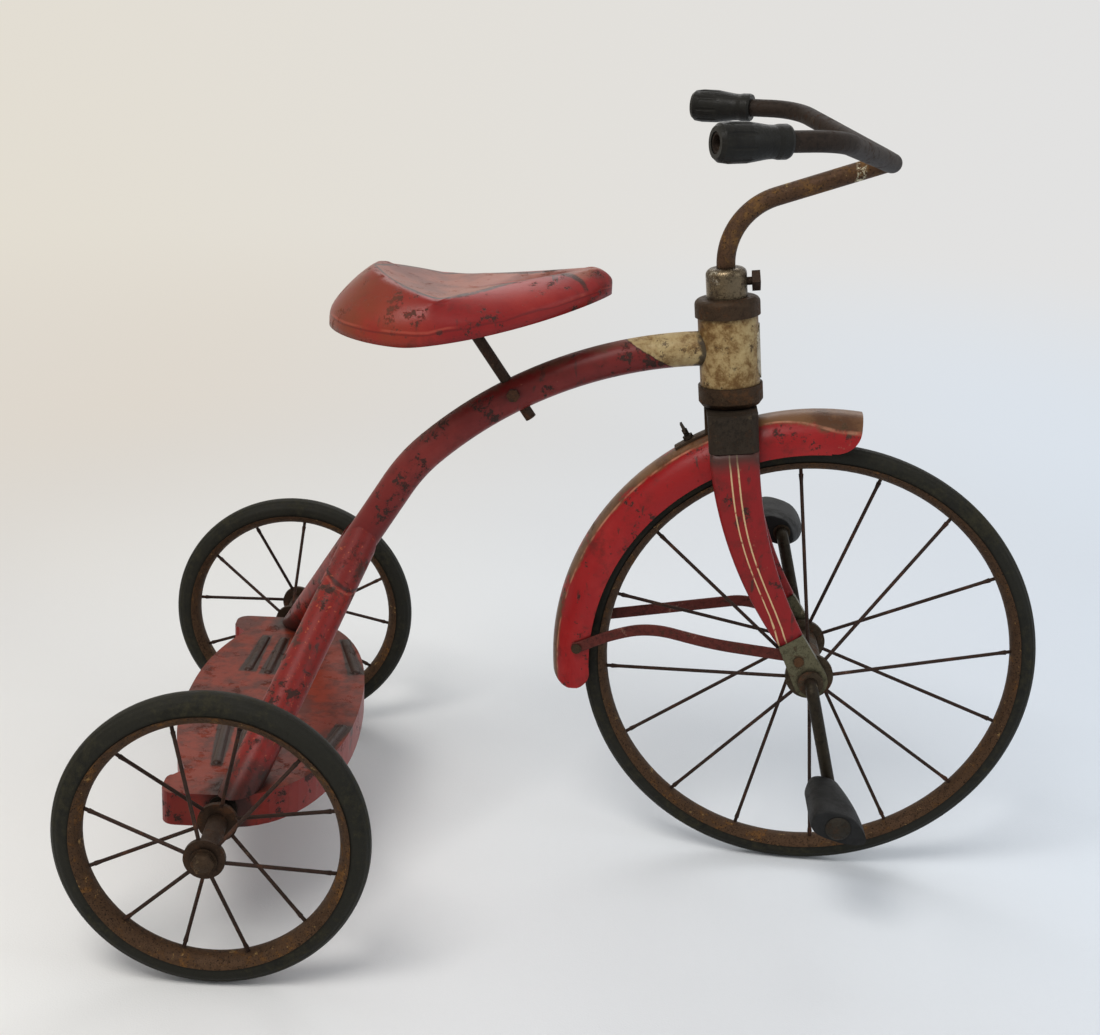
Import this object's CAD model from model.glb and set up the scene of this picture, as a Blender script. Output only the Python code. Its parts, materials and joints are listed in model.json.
"""Looks of the child's tricycle: camera, floor, light, paint, rust, rubber and the small made parts."""
import math

import bmesh
import bpy
import numpy
from mathutils import Matrix, Vector
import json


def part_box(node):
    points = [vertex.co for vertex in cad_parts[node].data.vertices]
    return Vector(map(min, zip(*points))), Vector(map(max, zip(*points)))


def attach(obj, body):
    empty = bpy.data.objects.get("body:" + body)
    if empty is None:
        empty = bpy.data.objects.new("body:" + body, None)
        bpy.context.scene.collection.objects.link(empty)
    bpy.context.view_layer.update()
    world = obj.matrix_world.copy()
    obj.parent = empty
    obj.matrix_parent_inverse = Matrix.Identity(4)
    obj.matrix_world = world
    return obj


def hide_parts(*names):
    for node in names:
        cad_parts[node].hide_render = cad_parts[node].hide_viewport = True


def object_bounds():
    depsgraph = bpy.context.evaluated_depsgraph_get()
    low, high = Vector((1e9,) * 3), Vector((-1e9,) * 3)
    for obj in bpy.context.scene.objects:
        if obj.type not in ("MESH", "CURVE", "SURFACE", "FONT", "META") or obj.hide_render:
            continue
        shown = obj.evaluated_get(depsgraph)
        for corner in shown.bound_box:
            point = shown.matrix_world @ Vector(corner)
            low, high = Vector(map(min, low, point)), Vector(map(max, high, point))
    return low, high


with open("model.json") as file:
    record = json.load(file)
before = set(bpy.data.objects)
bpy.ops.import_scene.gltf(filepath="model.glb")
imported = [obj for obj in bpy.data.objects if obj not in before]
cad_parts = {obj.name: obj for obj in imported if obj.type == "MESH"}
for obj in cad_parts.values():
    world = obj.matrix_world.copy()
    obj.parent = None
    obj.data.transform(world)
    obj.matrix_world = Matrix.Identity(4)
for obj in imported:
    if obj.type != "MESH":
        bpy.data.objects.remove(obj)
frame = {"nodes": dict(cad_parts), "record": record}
cad_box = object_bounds()
nodes = frame["nodes"]

# Places and angles of the frame's own joints, in metres and degrees.
HEAD_RAKE = 7
STEER_AT_REST = -5
FRONT_AXLE = (0.21266, -0.00508, 0.20317)
FRONT_SPIN = (0.08651, 0.99619, 0.01062)
REAR_AXLE_X = -0.2881238
# Wheel radius and tyre section radius.
FRONT_TYRE = (0.2032, 0.0108)
REAR_TYRE = (0.127, 0.012)
SIDES = ("right", "left")


# ---- camera and lamps ----

def set_camera():
    """The camera at a grown-up's eye height, near the back wheel, with its lens shifted sideways."""
    data = bpy.data.cameras.new("camera")
    data.sensor_width = 36
    data.lens = 52.509
    data.shift_x = 0.07186
    data.clip_end = 100
    camera = bpy.data.objects.new("camera", data)
    bpy.context.scene.collection.objects.link(camera)
    right = Vector((0.99894, 0.02715, 0.03718))
    down = Vector((0.0437, -0.3051, -0.95132))
    ahead = Vector((-0.01448, 0.95193, -0.30596))
    turn = Matrix((right, -down, -ahead)).transposed().to_4x4()
    camera.matrix_world = Matrix.Translation((-0.076722, -1.369706, 0.762263)) @ turn
    bpy.context.scene.camera = camera


def new_piece(name, mesh, material=None):
    """An object at the origin for a mesh whose points are in place."""
    piece = bpy.data.objects.new(name, mesh)
    bpy.context.scene.collection.objects.link(piece)
    if material:
        mesh.materials.clear()
        mesh.materials.append(material)
    return piece


def soft_box(name, at, towards, size, power, colour):
    """A rectangular lamp that points at a place."""
    data = bpy.data.lights.new(name, "AREA")
    data.shape = "RECTANGLE"
    data.size, data.size_y = size
    data.energy = power
    data.color = colour
    lamp = bpy.data.objects.new(name, data)
    bpy.context.scene.collection.objects.link(lamp)
    lamp.location = at
    lamp.rotation_euler = (Vector(towards) - Vector(at)).to_track_quat("-Z", "Y").to_euler()


# ---- shader sums ----

class Wire:
    """A node's output, on which + - * and / add the Math node that works out the sum."""

    def __init__(self, tree, socket=None):
        self.tree = tree
        self.socket = socket

    def make(self, kind, values=None, out=0, **settings):
        """A new node: its settings first, then the values or links of its sockets."""
        node = self.tree.nodes.new("ShaderNode" + kind)
        for name, setting in settings.items():
            setattr(node, name, setting)
        for name, value in (values or {}).items():
            if isinstance(value, Wire):
                self.tree.links.new(value.socket, node.inputs[name])
            else:
                node.inputs[name].default_value = value
        return Wire(self.tree, node.outputs[out] if node.outputs else None)

    def sum_of(self, operation, *terms, clamp=False):
        return self.make("Math", dict(enumerate(terms)), operation=operation, use_clamp=clamp)

    def looked_at(self):
        """1 for rays that show this to the eye or in a shine, and 0 for those that only light other things."""
        rays = [self.make("LightPath", out="Is %s Ray" % name) for name in ("Camera", "Glossy", "Transmission")]
        return self.sum_of("ADD", rays[0] + rays[1], rays[2], clamp=True)

    def __add__(self, other):
        return self.sum_of("ADD", self, other)

    def __sub__(self, other):
        return self.sum_of("SUBTRACT", self, other)

    def __mul__(self, other):
        return self.sum_of("MULTIPLY", self, other)

    def __truediv__(self, other):
        return self.sum_of("DIVIDE", self, other)

    def __rsub__(self, other):
        return self.sum_of("SUBTRACT", other, self)

    __radd__ = __add__
    __rmul__ = __mul__

    def over(self, low, high):
        """0 where this is under low, 1 where it is over high, and smooth between them."""
        return self.make("MapRange", {0: self, 1: low, 2: high, 3: 0.0, 4: 1.0}, interpolation_type="SMOOTHSTEP")

    def within(self, low, high, soft):
        """1 where this is between low and high, and 0 outside, with edges that soft blurs."""
        return self.over(low - soft, low + soft) * (1 - self.over(high - soft, high + soft))

    def size(self):
        """This without its sign."""
        return self.sum_of("ABSOLUTE", self)


def paint(red, green, blue):
    """The linear colour of an 8-bit one."""
    return tuple(((part / 255 + 0.055) / 1.055) ** 2.4 if part > 10 else part / 255 / 12.92
                 for part in (red, green, blue))


def share_of(colour, share):
    """An 8-bit colour made darker or lighter by a share."""
    return tuple(min(255, int(part * share)) for part in colour)


class Finish(Wire):
    """A finish being mixed: a material with its coordinates, noises and layers of colour."""

    def __init__(self, name):
        self.material = bpy.data.materials.new(name)
        self.material.use_nodes = True
        super().__init__(self.material.node_tree)
        self.tree.nodes.clear()
        self.place = self.make("TexCoord", out="Object")
        parts = [self.make("SeparateXYZ", {0: self.place}, out=i) for i in range(3)]
        self.x, self.y, self.z = parts

    def noise(self, scale, detail=4, rough=0.6, at=(0, 0, 0), stretch=(1, 1, 1)):
        """A noise of about scale lumps a metre, moved by at and drawn out along an axis by a small stretch."""
        where = self.make("Mapping", {0: self.place, 1: at, 3: stretch})
        return self.make("TexNoise", {"Vector": where, "Scale": scale, "Detail": detail, "Roughness": rough})

    def colour(self, red, green, blue):
        return (*paint(red, green, blue), 1)

    def written(self, name):
        """A number that the piece's mesh holds at each of its points."""
        return self.make("Attribute", out="Fac", attribute_name=name)

    def layer(self, below, above, share):
        """Colour above laid over colour below where share is 1."""
        return self.make("Mix", {0: share, 6: below, 7: above}, out=2, data_type="RGBA")

    def facing(self):
        """The three parts of the way the surface faces."""
        normal = self.make("NewGeometry", out="Normal")
        return [self.make("SeparateXYZ", {0: normal}, out=i) for i in range(3)]

    def crevices(self, reach):
        """1 in the corners where other parts stand closer than reach, and 0 in the open."""
        seen = self.make("AmbientOcclusion", {"Distance": reach}, out="AO", samples=6)
        return 1 - seen.over(0.35, 0.95)

    def bump(self, height, depth, strength=1.0):
        return self.make("Bump", {"Strength": strength, "Distance": depth, "Height": height})

    def finish(self, colour, rough, metal=0.0, shine=0.14, normal=None):
        values = {"Base Color": colour, "Roughness": rough, "Metallic": metal, "Specular IOR Level": shine}
        if normal:
            values["Normal"] = normal
        shader = self.make("BsdfPrincipled", values)
        self.make("OutputMaterial", {0: shader})
        return self.material


# ---- floor and light ----

def floor_finish():
    """Pale floor that keeps the shadow near the tricycle and fades far off into the plain backdrop."""
    f = Finish("pale_sweep")
    across = f.x.over(-1.0, 1.3)
    cloud = f.noise(0.9, 2, 0.4)
    near = f.layer(f.colour(240, 236, 229), f.colour(232, 241, 252), across)
    near = f.layer(near, f.colour(222, 221, 222), cloud.over(0.42, 0.8) * 0.5)
    away = f.sum_of("SQRT", f.x * f.x + f.y * f.y)
    far = f.layer(f.colour(222, 215, 205), f.colour(219, 227, 236), f.x.over(-0.9, 1.2))
    distant = f.layer(f.colour(227, 221, 209), f.colour(226, 226, 226), (f.x / away).over(-0.5, 0.5))
    far = f.layer(far, distant, away.over(1.5, 4.5))
    matt = f.make("BsdfPrincipled", {"Base Color": near, "Roughness": 0.95, "Specular IOR Level": 0.1,
                                     "Normal": f.bump(f.noise(600, 2), 0.0002)})
    plain = f.make("Emission", {"Color": far, "Strength": 1.0})
    f.make("OutputMaterial", {0: f.make("MixShader", {0: away.over(0.55, 1.9) * f.looked_at(), 1: matt, 2: plain})})
    return f.material


def set_stage():
    """The floor, the room's even light and three lamps."""
    mesh = bpy.data.meshes.new("floor")
    mesh.from_pydata([(-40, -40, 0), (40, -40, 0), (40, 60, 0), (-40, 60, 0)], [], [(0, 1, 2, 3)])
    mesh.transform(Matrix.Translation((0, 0, cad_box[0].z - 0.0003)))
    new_piece("floor", mesh, floor_finish())
    world = bpy.data.worlds.new("room")
    bpy.context.scene.world = world
    world.use_nodes = True
    w = Wire(world.node_tree)
    world.node_tree.nodes.clear()
    lit = w.make("Background", {0: (0.94, 0.97, 1.0, 1), 1: 0.50})
    way = w.make("SeparateXYZ", {0: w.make("TexCoord", out="Generated")}, out=0)
    warm, plain = (*paint(227, 221, 209), 1), (*paint(226, 226, 226), 1)
    tint = w.make("Mix", {0: way.over(-0.5, 0.5), 6: warm, 7: plain}, out=2, data_type="RGBA")
    pale = w.make("Background", {0: tint, 1: 1.0})
    w.make("OutputWorld", {0: w.make("MixShader", {0: w.looked_at(), 1: lit, 2: pale})})
    soft_box("window", (-0.9, -1.3, 2.4), (0, 0, 0.3), (1.3, 1.0), 36, (1.0, 0.98, 0.95))
    soft_box("room_fill", (2.2, -0.9, 1.6), (0.1, 0, 0.3), (1.4, 1.4), 8, (0.86, 0.93, 1.0))
    soft_box("back_fill", (0.2, 1.9, 2.0), (0, 0, 0.4), (2.0, 1.0), 12, (0.97, 0.98, 1.0))


# ---- paint, rust and rubber ----

def red_paint(name, base=(128, 26, 27), high=(158, 48, 42), low=(82, 27, 23), bare=(82, 54, 40), crown=0.5,
              wear=0.5, dust=0.2, gloss=0.34, extra=None):
    """Old red enamel, faded in clouds, brown where hands and feet wore it through, dark in its knocks."""
    f = Finish(name)
    up = f.facing()[2]
    cloud = f.noise(11, 5, 0.6)
    big = f.noise(30, 6, 0.66, at=(6, 3, 1))
    fine = f.noise(120, 6, 0.72, at=(3, 1, 2))
    grain = f.noise(520, 3, 0.6, at=(1, 5, 2))
    red = f.layer(f.colour(*base), f.colour(*high), cloud.over(0.46, 0.74) * 0.75)
    red = f.layer(red, f.colour(*low), (big * 0.6 + fine * 0.4).over(0.50, 0.68) * 0.75)
    worn = up.over(0.25, 0.95) * crown + cloud * 0.35 + big * 0.45 + fine * 0.25
    worn = (worn - (1.0 - wear * 0.4)).over(-0.05, 0.13)
    red = f.layer(red, f.colour(*bare), worn * 0.85)
    chips = (f.noise(46, 8, 0.78, at=(7, 2, 4)) + grain * 0.12).over(0.655 - wear * 0.05, 0.69 - wear * 0.05)
    red = f.layer(red, f.colour(44, 32, 27), chips * 0.92)
    scratch = f.noise(120, 3, 0.55, at=(2, 2, 9), stretch=(1, 0.1, 0.3)).over(0.64, 0.68) * (big.over(0.42, 0.55))
    red = f.layer(red, f.colour(52, 34, 29), scratch * 0.75)
    pale = f.noise(70, 6, 0.75, at=(9, 9, 2)).over(0.66, 0.70)
    red = f.layer(red, f.colour(160, 104, 84), pale * 0.35)
    film = (cloud * 0.6 + fine * 0.5).over(0.46, 0.70) * up.over(0.2, 0.95) * dust
    red = f.layer(red, f.colour(158, 108, 88), film * 0.7)
    if extra:
        red = extra(f, red)
    red = f.layer(red, f.colour(30, 22, 19), f.crevices(0.006) * 0.7)
    rough = gloss + worn * 0.26 + chips * 0.3 + fine * 0.12 + film * 0.3
    height = (1 - chips) * 0.6 + (1 - worn) * 0.3 + grain * 0.2 + fine * 0.2
    return f.finish(red, rough, normal=f.bump(height, 0.0006, 0.6), shine=0.22)


def iron(name, base, rust, light=None, share=0.5, metal=0.55, rough=0.5, scale=1.0, pit=0.5, extra=None):
    """Bare iron or steel gone dull, with rust bloom in patches, brighter rubs and dark pits."""
    f = Finish(name)
    big = f.noise(34 * scale, 6, 0.68)
    fine = f.noise(190 * scale, 6, 0.74, at=(4, 1, 8))
    pits = f.noise(760, 3, 0.62, at=(1, 1, 6))
    body = f.layer(f.colour(*base), f.colour(*share_of(base, 0.58)), fine.over(0.46, 0.66) * 0.75)
    bloom = (big * 0.65 + fine * 0.5).over(0.70 - share * 0.26, 0.80 - share * 0.2)
    body = f.layer(body, f.colour(*rust), bloom * 0.85)
    rubs = f.noise(80 * scale, 7, 0.8, at=(8, 4, 4)).over(0.60, 0.66)
    body = f.layer(body, f.colour(*(light or share_of(base, 1.6))), rubs * 0.6)
    body = f.layer(body, f.colour(*share_of(base, 0.4)), pits.over(0.57, 0.64) * pit)
    if extra:
        body = extra(f, body)
    body = f.layer(body, f.colour(24, 19, 15), f.crevices(0.005) * 0.6)
    return f.finish(body, rough + bloom * 0.28 + fine * 0.18, metal=metal * (1 - bloom * 0.85),
                    normal=f.bump(fine * 0.8 + pits * 0.6 + bloom * 0.5, 0.0006, 0.7))


def rubber(name, base=(40, 38, 34), dust=(84, 80, 66), share=0.4, gloss=0.5, scale=1.0, dirt=0.004):
    """Old rubber: black, greyed, with dust in its pores and fine crazing."""
    f = Finish(name)
    big = f.noise(16 * scale, 5, 0.62)
    fine = f.noise(130 * scale, 6, 0.72, at=(4, 1, 8))
    cracks = f.make("TexVoronoi", {"Vector": f.place, "Scale": 340.0}, out="Distance", feature="DISTANCE_TO_EDGE")
    body = f.layer(f.colour(*base), f.colour(*share_of(base, 0.6)), big.over(0.42, 0.66))
    film = (big * 0.55 + fine * 0.5).over(0.56 - share * 0.14, 0.74 - share * 0.08)
    body = f.layer(body, f.colour(*dust), film * share)
    body = f.layer(body, f.colour(*share_of(base, 0.45)), (1 - cracks.over(0.0, 0.05)) * 0.4)
    body = f.layer(body, f.colour(18, 16, 14), f.crevices(dirt) * (0.6 if dirt > 0.003 else 1.0))
    return f.finish(body, gloss + film * 0.3 + fine * 0.1,
                    normal=f.bump(fine * 0.6 + cracks.over(0.0, 0.06) * 0.3, 0.0005, 0.6))


def cream_layers(f, stained=0.0):
    """Cream enamel, yellowed, run through with rust stains and knocked dark; gives its colour and its chips."""
    big = f.noise(24, 7, 0.7, at=(2, 2, 2))
    fine = f.noise(150, 7, 0.75, at=(4, 1, 8))
    yellowed = (big * 0.6 + fine * 0.4).over(0.38 - stained, 0.6 - stained)
    cream = f.layer(f.colour(172, 151, 108), f.colour(130, 102, 62), yellowed)
    stain = (big * 0.55 + fine * 0.55).over(0.53 - stained, 0.68 - stained)
    cream = f.layer(cream, f.colour(92, 64, 34), stain * 0.85)
    chips = f.noise(75, 8, 0.82, at=(1, 8, 3)).over(0.56, 0.61)
    return f.layer(cream, f.colour(58, 40, 28), chips * 0.85), chips


def cream_paint(name):
    """The head tube's cream enamel."""
    f = Finish(name)
    cream, chips = cream_layers(f, 0.045)
    cream = f.layer(cream, f.colour(34, 26, 20), f.crevices(0.006) * 0.8)
    return f.finish(cream, 0.42 + chips * 0.3, normal=f.bump((1 - chips) * 0.6 + f.noise(300) * 0.3, 0.0005, 0.6))


def cream_dart(f, red):
    """The backbone's cream point, which widens toward the head, with a dark weld where it meets it."""
    edge = f.x - 0.0405 - (0.485 - f.z) * 1.9 + (f.noise(150, 3) - 0.5) * 0.006
    cream, _ = cream_layers(f)
    red = f.layer(red, f.colour(30, 22, 18), edge.within(-0.0022, 0.0012, 0.0012) * 0.6)
    red = f.layer(red, cream, edge.over(-0.001, 0.001))
    weld = (f.x + (f.noise(90, 4) - 0.5) * 0.02).over(0.0905, 0.0945)
    return f.layer(red, f.colour(48, 40, 30), weld * 0.9)


def fender_bands(f, red):
    """Brown worn crown along the fender's middle, between light creases."""
    off = [(place - at) * along for place, at, along in zip((f.x, f.y, f.z), FRONT_AXLE, FRONT_SPIN)]
    off = (off[0] + off[1] + off[2]).size()
    ragged = off + (f.noise(60, 5, 0.7) - 0.5) * 0.012
    wear = f.noise(24, 6, 0.7, at=(3, 3, 3))
    reach = 0.0150 + f.x.over(0.16, 0.22) * 0.008
    brown = f.layer(f.colour(74, 54, 33), f.colour(108, 80, 52), wear.over(0.4, 0.6))
    band = (1 - (ragged - reach).over(-0.0015, 0.0025)) * (wear + f.x.over(0.12, 0.2) * 0.2).over(0.36, 0.46)
    red = f.layer(red, brown, band * 0.92)
    crease = (off - reach).within(-0.0008, 0.0008, 0.0005) * f.noise(50, 4).over(0.40, 0.60)
    return f.layer(red, f.colour(196, 132, 104), crease * 0.6)


def seat_wear(f, red):
    """Pan worn pink and brown by sitting, with a dark rubbed crease round it and a rustier back."""
    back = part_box("seat_pan")[0].x
    up = f.facing()[2]
    inward = f.written("inward") + (f.noise(60, 5, 0.7) - 0.5) * 0.006
    dish = up.over(0.80, 0.95) * inward.over(-0.003, 0.001)
    tone = f.noise(16, 5, 0.6, at=(5, 5, 5))
    red = f.layer(red, f.layer(f.colour(146, 84, 64), f.colour(104, 56, 42), tone.over(0.4, 0.62)), dish * 0.88)
    rear = 1 - (f.x - back).over(0.02, 0.11)
    red = f.layer(red, f.colour(116, 54, 30), rear * (1 - dish) * tone.over(0.30, 0.55) * 0.8)
    rubbed = inward.within(-0.0050, 0.0025, 0.0015) * f.noise(75, 6, 0.8, at=(2, 4, 6)).over(0.38, 0.46)
    red = f.layer(red, f.colour(52, 32, 25), rubbed * up.over(0.2, 0.5) * 0.9)
    fold = f.written("fold")
    red = f.layer(red, f.colour(84, 24, 24), fold.within(0.0108, 0.0122, 0.0004) * 0.5)
    return f.layer(red, f.colour(170, 78, 62), fold.within(0.0126, 0.0140, 0.0005) * tone.over(0.4, 0.55) * 0.5)


def step_marks(f, red):
    """Brick-brown tread with dark rubbed ribs, and grease by the axle's ends."""
    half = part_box("step")[1].y
    level = f.facing()[2].over(0.6, 0.9)
    upper = (f.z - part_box("step")[1].z).over(-0.012, -0.008)
    tone = f.noise(40, 6, 0.7, at=(4, 4, 1))
    red = f.layer(red, f.layer(f.colour(122, 44, 24), f.colour(76, 31, 19), tone.over(0.4, 0.60)), level * 0.9)
    side = f.y.size()
    # Each rib: how far its ends are ahead of the axle and out from the middle.
    for inner_x, inner_y, outer_x, outer_y in ((-0.020, 0.060, -0.015, half - 0.059), (0, 0.055, 0.004, half - 0.063),
                                               (0.084, 0.062, 0.066, half - 0.061)):
        ahead, out = f.x - (inner_x + REAR_AXLE_X), side - inner_y
        dx, dy = outer_x - inner_x, outer_y - inner_y
        length = math.hypot(dx, dy)
        along = (ahead * dx + out * dy) * (1 / length)
        off = ((ahead * dy - out * dx) * (1 / length)).size()
        wide = 0.0085 - (along * (1 / length)) * 0.003
        mark = 1 - (off + (f.noise(160, 4) - 0.5) * 0.003 - wide).over(-0.001, 0.001)
        mark = mark * along.within(-0.006, length + 0.008, 0.003)
        red = f.layer(red, f.colour(37, 28, 21), mark * upper * 0.92)
    grease = 1 - (f.x + 0.283 + (f.noise(50, 4) - 0.5) * 0.03).size().over(0.010, 0.026)
    return f.layer(red, f.colour(38, 28, 23), grease * side.over(half - 0.045, half - 0.022) * 0.85)


def leg_seam(f, red):
    """The dark joint where a leg leaves the backbone, scuffs and specks along the leg, and grease at its foot."""
    above = (f.x + 0.2104) * 0.522 + (f.z - 0.274) * 0.853 + (f.noise(80, 3) - 0.5) * 0.004
    red = f.layer(red, f.colour(104, 32, 30), above.over(-0.003, 0.0) * 0.7)
    red = f.layer(red, f.colour(40, 24, 20), above.within(-0.0018, 0.0008, 0.0008) * 0.8)
    red = f.layer(red, f.colour(168, 92, 74), above.within(-0.0042, -0.0026, 0.0006) * 0.3)
    scuff = f.noise(38, 8, 0.8, at=(1, 7, 7)).over(0.54, 0.59)
    red = f.layer(red, f.colour(58, 38, 30), scuff * 0.8)
    speck = f.noise(170, 6, 0.8, at=(3, 7, 1))
    red = f.layer(red, f.colour(46, 28, 24), speck.over(0.57, 0.61) * 0.8)
    red = f.layer(red, f.colour(196, 104, 62), (1 - speck.over(0.36, 0.39)) * 0.6)
    foot = 1 - (f.z + (f.noise(60, 4) - 0.5) * 0.03).over(0.145, 0.168)
    return f.layer(red, f.colour(42, 30, 25), foot * 0.8)


def blade_stripes(f, red):
    """Two cream lines down the blade's face, and bare dark iron at its top."""
    across, down = f.written("across"), f.written("down")
    sound = f.noise(70, 6, 0.75, at=(2, 6, 3)).over(0.36, 0.46)
    pair = (across + 0.0012 + down * 0.014).size().within(0.0026, 0.0040, 0.0002)
    red = f.layer(red, f.colour(206, 176, 132), pair * sound * 0.85)
    top = 1 - (down + (f.noise(60, 5) - 0.5) * 0.02).over(0.004, 0.022)
    return f.layer(red, f.colour(56, 44, 38), top * 0.85)


def stem_patch(f, brown):
    """The whitish flaked patch on the stem, just behind the bar."""
    flakes = f.x.within(0.210, 0.217, 0.0015) * f.noise(200, 5, 0.75).over(0.50, 0.55)
    return f.layer(brown, f.colour(206, 198, 168), flakes * 0.9)


def dress(material, *names):
    """Gives the CAD nodes named this material on every slot."""
    for name in names:
        for slot in nodes[name].material_slots:
            slot.material = material


def body_of(node):
    return next(body for body, names in frame["record"]["behaviour"]["bodies"].items() if node in names)


def stand_for(node, name, shape, material, levels=0):
    """A piece of this shape, smoothed by levels, that stands for the node and rides on its body."""
    mesh = bpy.data.meshes.new(name)
    shape.to_mesh(mesh)
    shape.free()
    piece = new_piece(name, mesh, material)
    if levels:
        smooth = piece.modifiers.new("smooth", "SUBSURF")
        smooth.levels = smooth.render_levels = levels
    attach(piece, body_of(node))
    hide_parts(node)


def join_rows(shape, rows, closed=False, smooth=True):
    """Faces between rows that are loops of points; the last row meets the first, or both ends are capped."""
    for here, there in zip(rows, rows[1:] + rows[:closed]):
        for j in range(len(here)):
            k = (j + 1) % len(here)
            shape.faces.new((here[j], here[k], there[k], there[j])).smooth = smooth
    if not closed:
        shape.faces.new(rows[0])
        shape.faces.new(rows[-1][::-1])
    bmesh.ops.recalc_face_normals(shape, faces=shape.faces)


def main_axes(node):
    """A node's points, their mean and their three main directions, the longest first."""
    points = numpy.array([v.co for v in nodes[node].data.vertices])
    middle = points.mean(0)
    return points, middle, numpy.linalg.svd(points - middle, full_matrices=False)[2]


def smooth_copy(node, name, material, levels=1, sharp=50, mark=None):
    """A node's own shape with its doubles merged and its facets made smooth, to stand for the node."""
    copy = bmesh.new()
    copy.from_mesh(nodes[node].data)
    bmesh.ops.remove_doubles(copy, verts=copy.verts, dist=1e-5)
    bmesh.ops.join_triangles(copy, faces=copy.faces, angle_face_threshold=0.6, angle_shape_threshold=0.9)
    crease = copy.edges.layers.float.new("crease_edge")
    for edge in copy.edges:
        if len(edge.link_faces) == 2 and edge.calc_face_angle(0) > math.radians(sharp):
            edge[crease] = 0.9
    for face in copy.faces:
        face.smooth = True
    if mark:
        mark(copy)
    stand_for(node, name, copy, material, levels)


def mark_pan(copy):
    """Writes each point's height above the skirt's edge, and how far in it is from the pan's side ridge."""
    fold = copy.verts.layers.float.new("fold")
    inward = copy.verts.layers.float.new("inward")
    places = [(v.co.x, abs(v.co.y), v.co.z) for v in copy.verts]
    first, last = min(x for x, _, _ in places), max(x for x, _, _ in places)
    stations = [first + (last - first) * i / 30 for i in range(6, 27)]
    ridges = [max((z, y) for a, y, z in places if abs(a - x) < 0.008 and y > 0.012)[1] for x in stations]
    line = numpy.polyfit(stations, ridges, 3)
    for v in copy.verts:
        v[inward] = float(numpy.polyval(line, v.co.x)) - abs(v.co.y)
    count = 48
    middle = sum((v.co for v in copy.verts), Vector()) / len(copy.verts)
    low = [math.inf] * count

    def sector(v):
        return (math.atan2(v.co.y - middle.y, v.co.x - middle.x) / (2 * math.pi) + 0.5) * count

    for v in copy.verts:
        for near in (-1, 0, 1):
            at = (int(sector(v)) % count + near) % count
            low[at] = min(low[at], v.co.z)
    for v in copy.verts:
        here, part = int(sector(v)) % count, sector(v) % 1
        v[fold] = v.co.z - (low[here] * (1 - part) + low[(here + 1) % count] * part)


def mark_blade(copy):
    """Writes how far each point is from the blade's middle line, and how far down from its top."""
    rake = math.radians(HEAD_RAKE)
    up = Vector((-math.sin(rake), 0, math.cos(rake)))
    ahead = Matrix.Rotation(math.radians(STEER_AT_REST), 3, up) @ Vector((math.cos(rake), 0, math.sin(rake)))
    across = copy.verts.layers.float.new("across")
    down = copy.verts.layers.float.new("down")
    places = [(v, v.co.dot(ahead), v.co.dot(up)) for v in copy.verts]
    top = max(w for _, _, w in places)
    middles = []
    for _, _, w in places:
        level = [a for _, a, b in places if abs(b - w) < 0.004]
        middles.append((min(level) + max(level)) / 2)
    line = numpy.polyfit([w for _, _, w in places], middles, 4)
    for v, u, w in places:
        v[across] = u - float(numpy.polyval(line, w))
        v[down] = top - w


# ---- made pieces ----

def wheel_place(node):
    """Centre and spin axis of a wheel, from its tyre's own points."""
    points, _, (_, _, axis) = main_axes(node)
    return Vector((points.min(0) + points.max(0)) / 2), Vector(axis) * (1 if axis[1] > 0 else -1)


def lathe_tyre(node, name, wheel_r, section_r, material):
    """The tyre turned again, with grooves at its shoulders, a flattened tread and a fine line on its side."""
    centre, axis = wheel_place(node)
    across = axis.cross(Vector((0, 0, 1))).normalized()
    upward = across.cross(axis).normalized()
    middle = wheel_r - section_r
    steps, count = 56, 180
    lathe = bmesh.new()
    rows = []
    for i in range(count):
        turn = 2 * math.pi * i / count
        outward = across * math.cos(turn) + upward * math.sin(turn)
        row = []
        for j in range(steps):
            angle = 2 * math.pi * j / steps
            off = abs((angle + math.pi) % (2 * math.pi) - math.pi)
            deep = 0.00035 if off < 0.42 else 0.0
            for groove, at, reach in ((0.0008, 0.62, 0.10), (0.0005, 1.02, 0.08), (0.0004, 1.5, 0.1)):
                deep += groove * max(0.0, 1 - abs(off - at) / reach)
            r = section_r - deep
            out, aside = middle + r * math.cos(angle), r * math.sin(angle)
            row.append(lathe.verts.new(centre + outward * out + axis * aside))
        rows.append(row)
    join_rows(lathe, rows, closed=True)
    stand_for(node, name, lathe, material)


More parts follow.
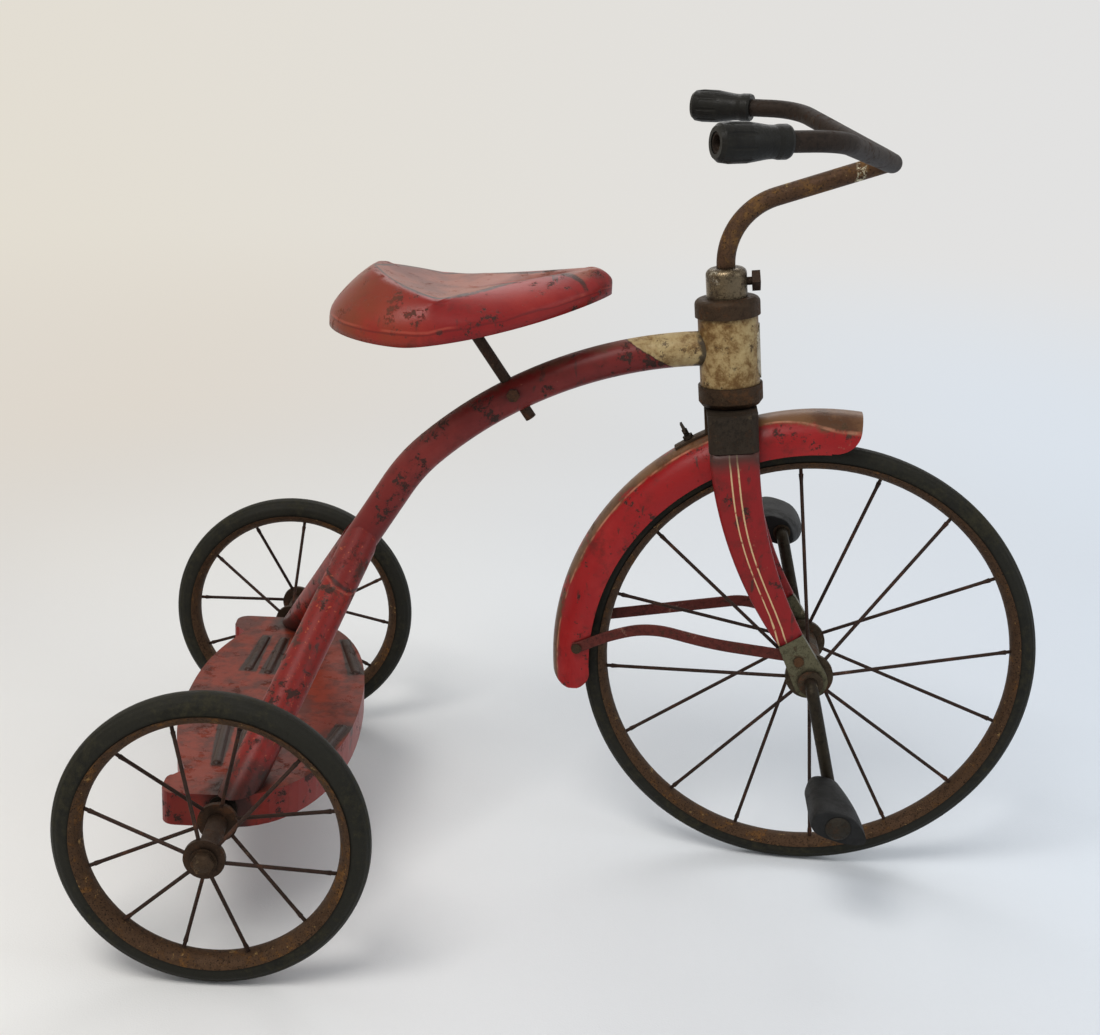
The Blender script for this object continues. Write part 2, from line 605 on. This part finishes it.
def pedal_block(node, name, material):
    """Pedal rubber worn to a lip along its front edge, which sweeps back toward the crank."""
    points, middle, axes = main_axes(node)
    pin, wide, thick = (Vector(v) for v in axes)
    outer = 1 if "left" in node else -1
    pin = pin * (outer if pin.y > 0 else -outer)
    wide = wide if wide.x > 0 else -wide
    thick = thick if thick.z > 0 else -thick
    spans = [[(Vector(p) - Vector(middle)).dot(way) for p in points] for way in (pin, wide, thick)]
    low, high = [min(span) for span in spans], [max(span) for span in spans]
    block = bmesh.new()
    rows = []
    count, stations = 40, 18
    for i in range(stations):
        t = i / (stations - 1)
        round_end = min(1.0, math.sin(math.pi / 2 * min(1.0, 0.25 + 6 * min(t, 1 - t))))
        front = high[1] - 0.0135 * (1 - t) ** 2.6
        back = low[1] + 0.0020 * (1 - round_end)
        row = []
        for j in range(count):
            angle = 2 * math.pi * j / count
            c, s = math.cos(angle), math.sin(angle)
            half = (high[2] - low[2]) / 2 * (0.965 + 0.035 * round_end)
            lip = max(0.0, c) ** 1.5
            x = (front + back) / 2 + (front - back) / 2 * math.copysign(abs(c) ** 0.72, c)
            z = half * math.copysign(abs(s) ** 0.62, s) * (1 - 0.55 * lip) - 0.0045 * lip
            row.append(block.verts.new(Vector(middle) + pin * (low[0] + (high[0] - low[0]) * t) + wide * x
                                       + thick * (z + (high[2] + low[2]) / 2)))
        rows.append(row)
    join_rows(block, rows)
    stand_for(node, name, block, material)


def stay_strip(node, name, material):
    """The stay's flat strip with its bends eased and its edges rounded, along the node's own middle line."""
    mesh = nodes[node].data
    _, mean, axes = main_axes(node)
    middle, ways = Vector(mean), [Vector(v) for v in axes]
    along, wide, thick = ways
    flat = [[(v.co - middle).dot(way) for way in ways] for v in mesh.vertices]
    end_r, half_w, least_w = 0.0055, 0.0048, 0.0004
    first, last = min(u for u, _, _ in flat) + end_r, max(u for u, _, _ in flat) - end_r
    half_t = (max(w for _, _, w in flat) - min(w for _, _, w in flat)) / 2 * 0.98
    count, cap, ease = 60, 4, 5
    line = []
    for i in range(count + 1):
        u = first + (last - first) * i / count
        cuts = []
        for edge in mesh.edges:
            (ua, va, _), (ub, vb, _) = (flat[k] for k in edge.vertices)
            if min(ua, ub) <= u <= max(ua, ub) and abs(ua - ub) > 1e-7:
                cuts.append(va + (vb - va) * (u - ua) / (ub - ua))
        line.append((min(cuts) + max(cuts)) / 2)
    eased = []
    for i in range(count + 1):
        reach = min(i, count - i, ease)
        eased.append(sum(line[i - reach:i + reach + 1]) / (2 * reach + 1))
    strip = bmesh.new()
    rows = []
    outline = ((-1, -0.6), (-0.8, -1), (0.8, -1), (1, -0.6), (1, 0.6), (0.8, 1), (-0.8, 1), (-1, 0.6))
    for i in range(-cap, count + cap + 1):
        k = min(max(i, 0), count)
        end = max(-i, i - count, 0) / cap
        half = half_w * math.sqrt(max(0.0, 1 - end * end)) + least_w
        u = first + (last - first) * k / count + half_w * end * (1 if i > count else -1)
        rows.append([strip.verts.new(middle + along * u + wide * (eased[k] + half * a) + thick * (half_t * b))
                     for a, b in outline])
    join_rows(strip, rows, smooth=False)
    stand_for(node, name, strip, material)


def spoke_nipple_tree():
    """Sets a tapered sleeve at each point, lined up with the point's own direction."""
    tree = bpy.data.node_groups.new("spoke_nipples", "GeometryNodeTree")
    for name, kind in (("Points", "NodeSocketGeometry"), ("Length", "NodeSocketFloat"), ("Width", "NodeSocketFloat"),
                       ("Finish", "NodeSocketMaterial")):
        tree.interface.new_socket(name, in_out="INPUT", socket_type=kind)
    tree.interface.new_socket("Nipples", in_out="OUTPUT", socket_type="NodeSocketGeometry")

    def add(kind, values=None, **settings):
        node = tree.nodes.new(kind)
        for key, setting in settings.items():
            setattr(node, key, setting)
        for key, value in (values or {}).items():
            if isinstance(value, bpy.types.NodeSocket):
                tree.links.new(value, node.inputs[key])
            else:
                node.inputs[key].default_value = value
        return node

    given = add("NodeGroupInput").outputs
    half = add("ShaderNodeMath", {0: given["Width"], 1: 0.5}, operation="MULTIPLY").outputs[0]
    narrow = add("ShaderNodeMath", {0: given["Width"], 1: 0.36}, operation="MULTIPLY").outputs[0]
    sleeve = add("GeometryNodeMeshCone", {"Vertices": 12, "Radius Top": narrow, "Radius Bottom": half,
                                          "Depth": given["Length"]})
    way = add("GeometryNodeInputNamedAttribute", {"Name": "way"}, data_type="FLOAT_VECTOR").outputs[0]
    lined = add("FunctionNodeAlignRotationToVector", {"Vector": way}, axis="Z").outputs[0]
    spread = add("GeometryNodeInstanceOnPoints", {"Points": given["Points"], "Instance": sleeve.outputs["Mesh"],
                                                  "Rotation": lined})
    real = add("GeometryNodeRealizeInstances", {0: spread.outputs[0]})
    dressed = add("GeometryNodeSetMaterial", {"Geometry": real.outputs[0], "Material": given["Finish"]})
    add("NodeGroupOutput", {0: dressed.outputs[0]})
    return tree


def spoke_nipples(tree, spokes, name, length, width, material):
    """A nipple on each spoke where it comes out of the rim."""
    solids = bmesh.new()
    solids.from_mesh(nodes[spokes].data)
    bmesh.ops.remove_doubles(solids, verts=solids.verts, dist=1e-6)
    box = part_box(spokes)
    centre = (Vector(box[0]) + Vector(box[1])) / 2
    places, seen = [], set()
    for seed in solids.verts:
        if seed in seen:
            continue
        seen.add(seed)
        group, wave = [], [seed]
        while wave:
            v = wave.pop()
            group.append(v)
            for other in (edge.other_vert(v) for edge in v.link_edges):
                if other not in seen:
                    seen.add(other)
                    wave.append(other)
        reach = {v: (v.co - centre).length for v in group}
        far, near = max(reach.values()), min(reach.values())
        ends = [v.co for v in group if reach[v] > far - 0.003]
        roots = [v.co for v in group if reach[v] < near + 0.003]
        tip, root = sum(ends, Vector()) / len(ends), sum(roots, Vector()) / len(roots)
        way = (root - tip).normalized()
        places.append((tip + way * (0.0035 + length * 0.2), way))
    solids.free()
    mesh = bpy.data.meshes.new(name)
    mesh.from_pydata([p for p, _ in places], [], [])
    ways = mesh.attributes.new("way", "FLOAT_VECTOR", "POINT")
    for item, (_, way) in zip(ways.data, places):
        item.vector = way
    seeds = new_piece(name + "_points", mesh)
    live = seeds.modifiers.new("nipples", "NODES")
    live.node_group = tree
    keys = {item.name: item.identifier for item in tree.interface.items_tree if item.in_out == "INPUT"}
    live[keys["Length"]], live[keys["Width"]], live[keys["Finish"]] = length, width, material
    plain = bpy.data.meshes.new_from_object(seeds.evaluated_get(bpy.context.evaluated_depsgraph_get()))
    plain.name = name
    bpy.data.objects.remove(seeds)
    piece = bpy.data.objects.new(name, plain)
    bpy.context.scene.collection.objects.link(piece)
    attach(piece, body_of(spokes))


set_camera()
set_stage()

dress(red_paint("backbone_red", (104, 30, 28), (132, 48, 42), wear=0.65, crown=0.3, extra=cream_dart),
      "backbone_tube")
dress(red_paint("leg_red", (120, 28, 23), (152, 46, 32), (76, 27, 21), wear=0.6, crown=0.08, dust=0.0,
                extra=leg_seam), "rear_fork_tube")
dress(red_paint("step_red", (122, 34, 28), (138, 50, 34), crown=0.25, wear=0.5, dust=0.0, extra=step_marks), "step")
dress(red_paint("fender_red", (142, 24, 26), (176, 50, 46), crown=0.2, wear=0.35, dust=0.15, gloss=0.26,
                extra=fender_bands), "fender")
dress(cream_paint("head_cream_rusty"), "head_tube")
dress(iron("badge_plate_bare", (176, 166, 146), (120, 92, 60), (214, 206, 190), share=0.2, metal=0.3, rough=0.4),
      "head_plate")
dress(iron("cup_iron", (64, 50, 38), (84, 58, 38), (106, 90, 68), share=0.5), "lower_cup", "upper_cup", "head_cap",
      "lower_race", "upper_cone", "fender_bracket", "axle_brackets", "axle_nuts", "stay_rivets")
dress(iron("cap_dark", (46, 42, 36), (58, 46, 36), (86, 80, 68), share=0.3, metal=0.3), "pedal_caps")
dress(iron("greasy_iron", (34, 28, 22), (44, 34, 26), (60, 50, 40), share=0.3, metal=0.2), "axle_spacers")
dress(iron("axle_iron", (58, 44, 34), (82, 54, 36), (100, 82, 62), share=0.5), "rear_axle",
      "rear_hub_right", "rear_hub_left")
dress(iron("crown_iron", (50, 42, 34), (66, 48, 35), (92, 80, 62), share=0.4, metal=0.3), "fork_crown", "wing_bolt")
dress(iron("hub_iron", (70, 60, 48), (92, 62, 44), (120, 104, 80), share=0.4), "front_hub", "axle_bushes",
      "pedal_sleeve_right", "pedal_sleeve_left", "steerer_tube", "lower_balls", "upper_balls")
dress(iron("crank_iron", (46, 40, 31), (42, 31, 24), (170, 152, 112), share=0.45, metal=0.5, rough=0.34),
      "crankshaft")
dress(iron("fork_end_steel", (96, 92, 72), (78, 58, 42), (176, 166, 136), share=0.3, metal=0.7, rough=0.36),
      "fork_end_right", "fork_end_left")
dress(iron("chrome_worn", (104, 92, 74), (54, 38, 26), (196, 190, 176), share=0.62, metal=0.95, rough=0.14,
           scale=0.8), "stem_collar")
dress(iron("bolt_iron", (58, 46, 38), (82, 54, 38), share=0.5), "collar_bolt", "seat_set_bolt", "seat_bolts",
      "seat_post", "seat_bracket")
dress(iron("bar_brown", (44, 35, 29), (60, 42, 30), (76, 64, 52), share=0.35, metal=0.15, rough=0.5, pit=0.4),
      "handlebar")
dress(iron("stem_brown", (78, 56, 40), (116, 84, 48), (168, 140, 90), share=0.55, metal=0.35, rough=0.46, pit=1.0,
           extra=stem_patch), "stem")
spoke_iron = iron("spoke_brown", (54, 40, 34), (86, 56, 42), (110, 90, 76), share=0.4, metal=0.4)
dress(spoke_iron, "front_spokes", "rear_spokes_right", "rear_spokes_left")
dress(iron("rim_rust", (74, 54, 38), (108, 74, 40), (168, 134, 84), share=0.4, metal=0.35, pit=1.0, scale=1.3),
      "front_rim", "rear_rim_right", "rear_rim_left")
dress(rubber("grip_rubber", (32, 31, 28), (56, 55, 48), 0.3, 0.32, dirt=0.0025), "grip_right", "grip_left")

tyre_black = rubber("tyre_rubber", (33, 32, 26), (70, 66, 49), 0.5, 0.5)
lathe_tyre("front_tyre", "front_tyre_worn", *FRONT_TYRE, tyre_black)
for side in SIDES:
    lathe_tyre("rear_tyre_" + side, "rear_tyre_worn_" + side, *REAR_TYRE, tyre_black)

pedal_black = rubber("pedal_rubber_old", (36, 36, 36), (62, 62, 60), 0.35, 0.5, scale=1.5)
for side in SIDES:
    pedal_block("pedal_rubber_" + side, "pedal_block_" + side, pedal_black)

nipples = spoke_nipple_tree()
spoke_nipples(nipples, "front_spokes", "front_nipples", 0.007, 0.0044, spoke_iron)
for side in SIDES:
    spoke_nipples(nipples, "rear_spokes_" + side, "rear_nipples_" + side, 0.007, 0.0042, spoke_iron)

smooth_copy("seat_pan", "seat_shell", red_paint("seat_red", (124, 25, 25), (150, 42, 36), crown=0.1, wear=0.45,
                                                dust=0.05, gloss=0.28, extra=seat_wear), mark=mark_pan)
stay_finish = iron("stay_brown", (88, 40, 34), (70, 46, 36), (140, 104, 88), share=0.35, metal=0.1, rough=0.4)
for side in SIDES:
    stay_strip("fender_stay_" + side, "stay_strip_" + side, stay_finish)
    smooth_copy("fork_blade_" + side, "blade_shell_" + side,
                red_paint("blade_red_" + side, (128, 24, 26), (150, 42, 38), wear=0.45, crown=0.2,
                          extra=blade_stripes), mark=mark_blade)

bpy.context.scene.view_settings.view_transform = "Standard"
